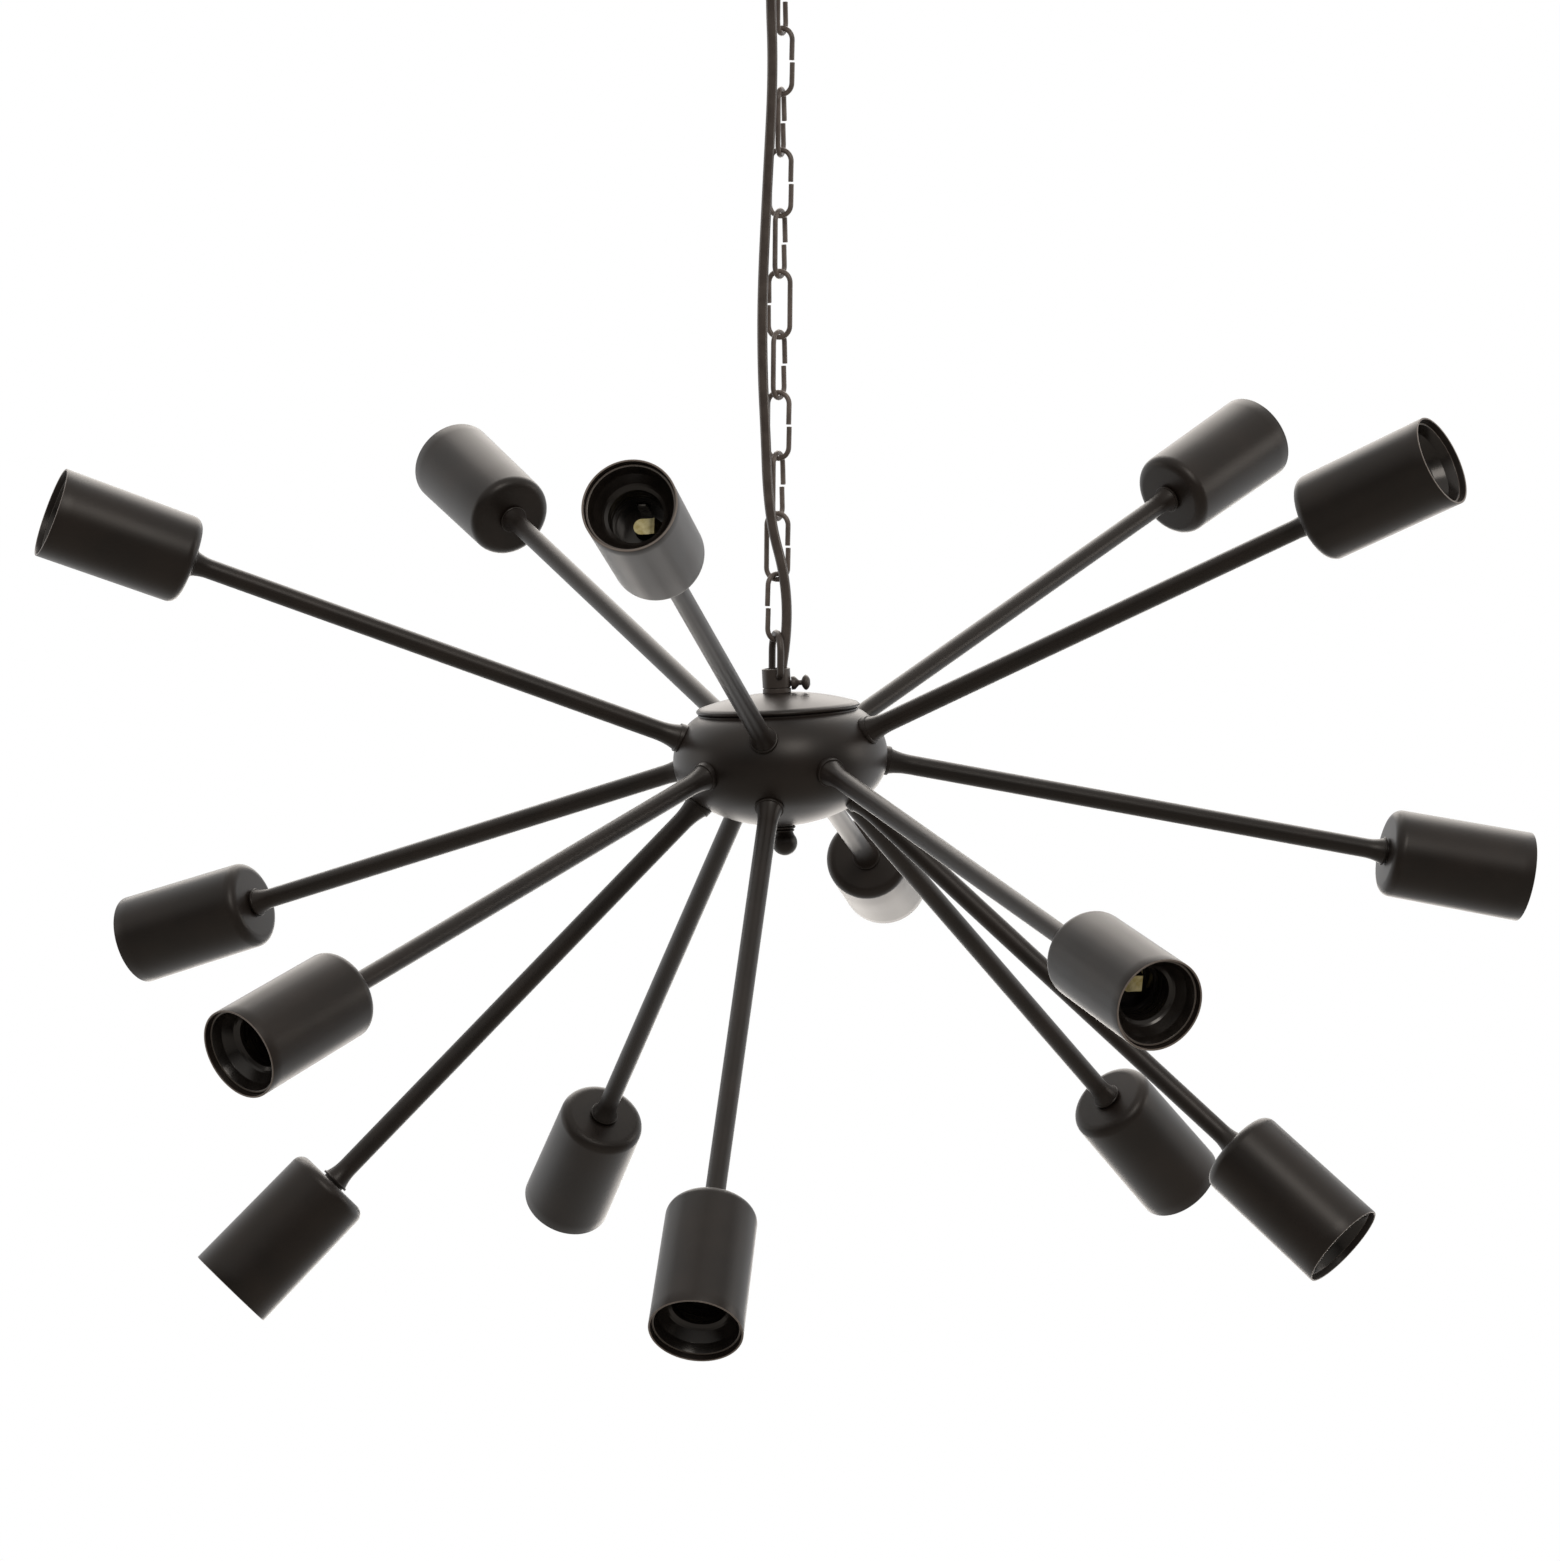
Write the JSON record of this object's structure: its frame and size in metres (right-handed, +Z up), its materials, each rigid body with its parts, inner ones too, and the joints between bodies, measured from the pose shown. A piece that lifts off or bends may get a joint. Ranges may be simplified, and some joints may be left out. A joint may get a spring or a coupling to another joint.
{
  "type": "sputnik chandelier",
  "caption": "Sputnik chandelier: cup lampholders on straight arms around a flattened round hub, hung by chain and cable from a ceiling cup",
  "frame": {"origin": "middle of the ceiling face of the canopy bracket", "axes": "+Z up into the ceiling, +X to the picture's right, +Y away from its camera"},
  "size_m": [0.7608, 0.7509, 0.7293],
  "materials": {
    "black_coated_steel": "satin black powder coat",
    "black_chain": "satin black coat on steel wire",
    "zinc_steel": "zinc plated",
    "black_plastic": "moulded",
    "holder_plastic": "moulded, glossy",
    "terminal_plastic": "moulded",
    "contact_brass": "plain strip",
    "cable_sheath": "smooth round sheath"
  },
  "bodies": {
    "ceiling_fitting": {"ceiling_bracket": "zinc_steel", "canopy": "black_coated_steel", "canopy_fixings": "black_coated_steel", "canopy_hanger": "black_coated_steel", "hanger_nuts": "zinc_steel", "cable_gland": "black_plastic", "cable": "cable_sheath"},
    "link_01": {"chain_link_01": "black_chain"},
    "link_02": {"chain_link_02": "black_chain"},
    "link_03": {"chain_link_03": "black_chain"},
    "link_04": {"chain_link_04": "black_chain"},
    "link_05": {"chain_link_05": "black_chain"},
    "link_06": {"chain_link_06": "black_chain"},
    "link_07": {"chain_link_07": "black_chain"},
    "link_08": {"chain_link_08": "black_chain"},
    "link_09": {"chain_link_09": "black_chain"},
    "link_10": {"chain_link_10": "black_chain"},
    "link_11": {"chain_link_11": "black_chain"},
    "bail": {"bail": "black_coated_steel"},
    "hub": {"hub_collar": "black_coated_steel", "hub_lid": "black_coated_steel", "hub_shell": "black_coated_steel", "hub_stem": "zinc_steel", "stem_nuts": "zinc_steel", "terminal_block": "terminal_plastic", "finial": "black_coated_steel", "arm_nuts": "zinc_steel", "lampholders": "holder_plastic", "lamp_contacts": "contact_brass", "arm_upper_1": "black_coated_steel", "arm_upper_2": "black_coated_steel", "arm_upper_3": "black_coated_steel", "arm_upper_4": "black_coated_steel", "arm_upper_5": "black_coated_steel", "arm_middle_1": "black_coated_steel", "arm_middle_2": "black_coated_steel", "arm_middle_3": "black_coated_steel", "arm_middle_4": "black_coated_steel", "arm_middle_5": "black_coated_steel", "arm_lower_1": "black_coated_steel", "arm_lower_2": "black_coated_steel", "arm_lower_3": "black_coated_steel", "arm_lower_4": "black_coated_steel", "arm_lower_5": "black_coated_steel", "cup_upper_1": "black_coated_steel", "cup_upper_2": "black_coated_steel", "cup_upper_3": "black_coated_steel", "cup_upper_4": "black_coated_steel", "cup_upper_5": "black_coated_steel", "cup_middle_1": "black_coated_steel", "cup_middle_2": "black_coated_steel", "cup_middle_3": "black_coated_steel", "cup_middle_4": "black_coated_steel", "cup_middle_5": "black_coated_steel", "cup_lower_1": "black_coated_steel", "cup_lower_2": "black_coated_steel", "cup_lower_3": "black_coated_steel", "cup_lower_4": "black_coated_steel", "cup_lower_5": "black_coated_steel"},
    "thumb_screw": {"thumb_screw": "black_coated_steel"}
  },
  "joints": [
    {"name": "link_01_swing", "type": "hinge", "parent": "ceiling_fitting", "child": "link_01", "pos_m": [0, 0, -0.051], "axis": [0.9063, -0.4226, 0], "range_deg": [-8, 8]},
    {"name": "link_02_swing", "type": "hinge", "parent": "link_01", "child": "link_02", "pos_m": [0, 0, -0.08085], "axis": [0.5736, 0.8192, 0], "range_deg": [-8, 8]},
    {"name": "link_03_swing", "type": "hinge", "parent": "link_02", "child": "link_03", "pos_m": [0, 0, -0.1114], "axis": [0.9063, -0.4226, 0], "range_deg": [-8, 8]},
    {"name": "link_04_swing", "type": "hinge", "parent": "link_03", "child": "link_04", "pos_m": [0, 0, -0.14195], "axis": [0.5736, 0.8192, 0], "range_deg": [-8, 8]},
    {"name": "link_05_swing", "type": "hinge", "parent": "link_04", "child": "link_05", "pos_m": [0, 0, -0.1725], "axis": [0.9063, -0.4226, 0], "range_deg": [-8, 8]},
    {"name": "link_06_swing", "type": "hinge", "parent": "link_05", "child": "link_06", "pos_m": [0, 0, -0.20305], "axis": [0.5736, 0.8192, 0], "range_deg": [-8, 8]},
    {"name": "link_07_swing", "type": "hinge", "parent": "link_06", "child": "link_07", "pos_m": [0, 0, -0.2336], "axis": [0.9063, -0.4226, 0], "range_deg": [-8, 8]},
    {"name": "link_08_swing", "type": "hinge", "parent": "link_07", "child": "link_08", "pos_m": [0, 0, -0.26415], "axis": [0.5736, 0.8192, 0], "range_deg": [-8, 8]},
    {"name": "link_09_swing", "type": "hinge", "parent": "link_08", "child": "link_09", "pos_m": [0, 0, -0.2947], "axis": [0.9063, -0.4226, 0], "range_deg": [-8, 8]},
    {"name": "link_10_swing", "type": "hinge", "parent": "link_09", "child": "link_10", "pos_m": [0, 0, -0.32525], "axis": [0.5736, 0.8192, 0], "range_deg": [-8, 8]},
    {"name": "link_11_swing", "type": "hinge", "parent": "link_10", "child": "link_11", "pos_m": [0, 0, -0.3558], "axis": [0.9063, -0.4226, 0], "range_deg": [-8, 8]},
    {"name": "bail_swing", "type": "hinge", "parent": "link_11", "child": "bail", "pos_m": [0, 0, -0.38635], "axis": [-0.766, -0.6428, 0], "range_deg": [-8, 8]},
    {"name": "hub_tilt", "type": "hinge", "parent": "bail", "child": "hub", "pos_m": [0, 0, -0.4044], "axis": [-0.225, 0.9744, 0], "range_deg": [-20, 20], "deforming": ["cable"]},
    {"name": "thumb_screw_turn", "type": "hinge", "parent": "hub", "child": "thumb_screw", "pos_m": [0.00739, 0.00005, -0.40817], "axis": [0.9982, -0.0004, 0.0595], "range_deg": [-180, 180]}
  ]
}
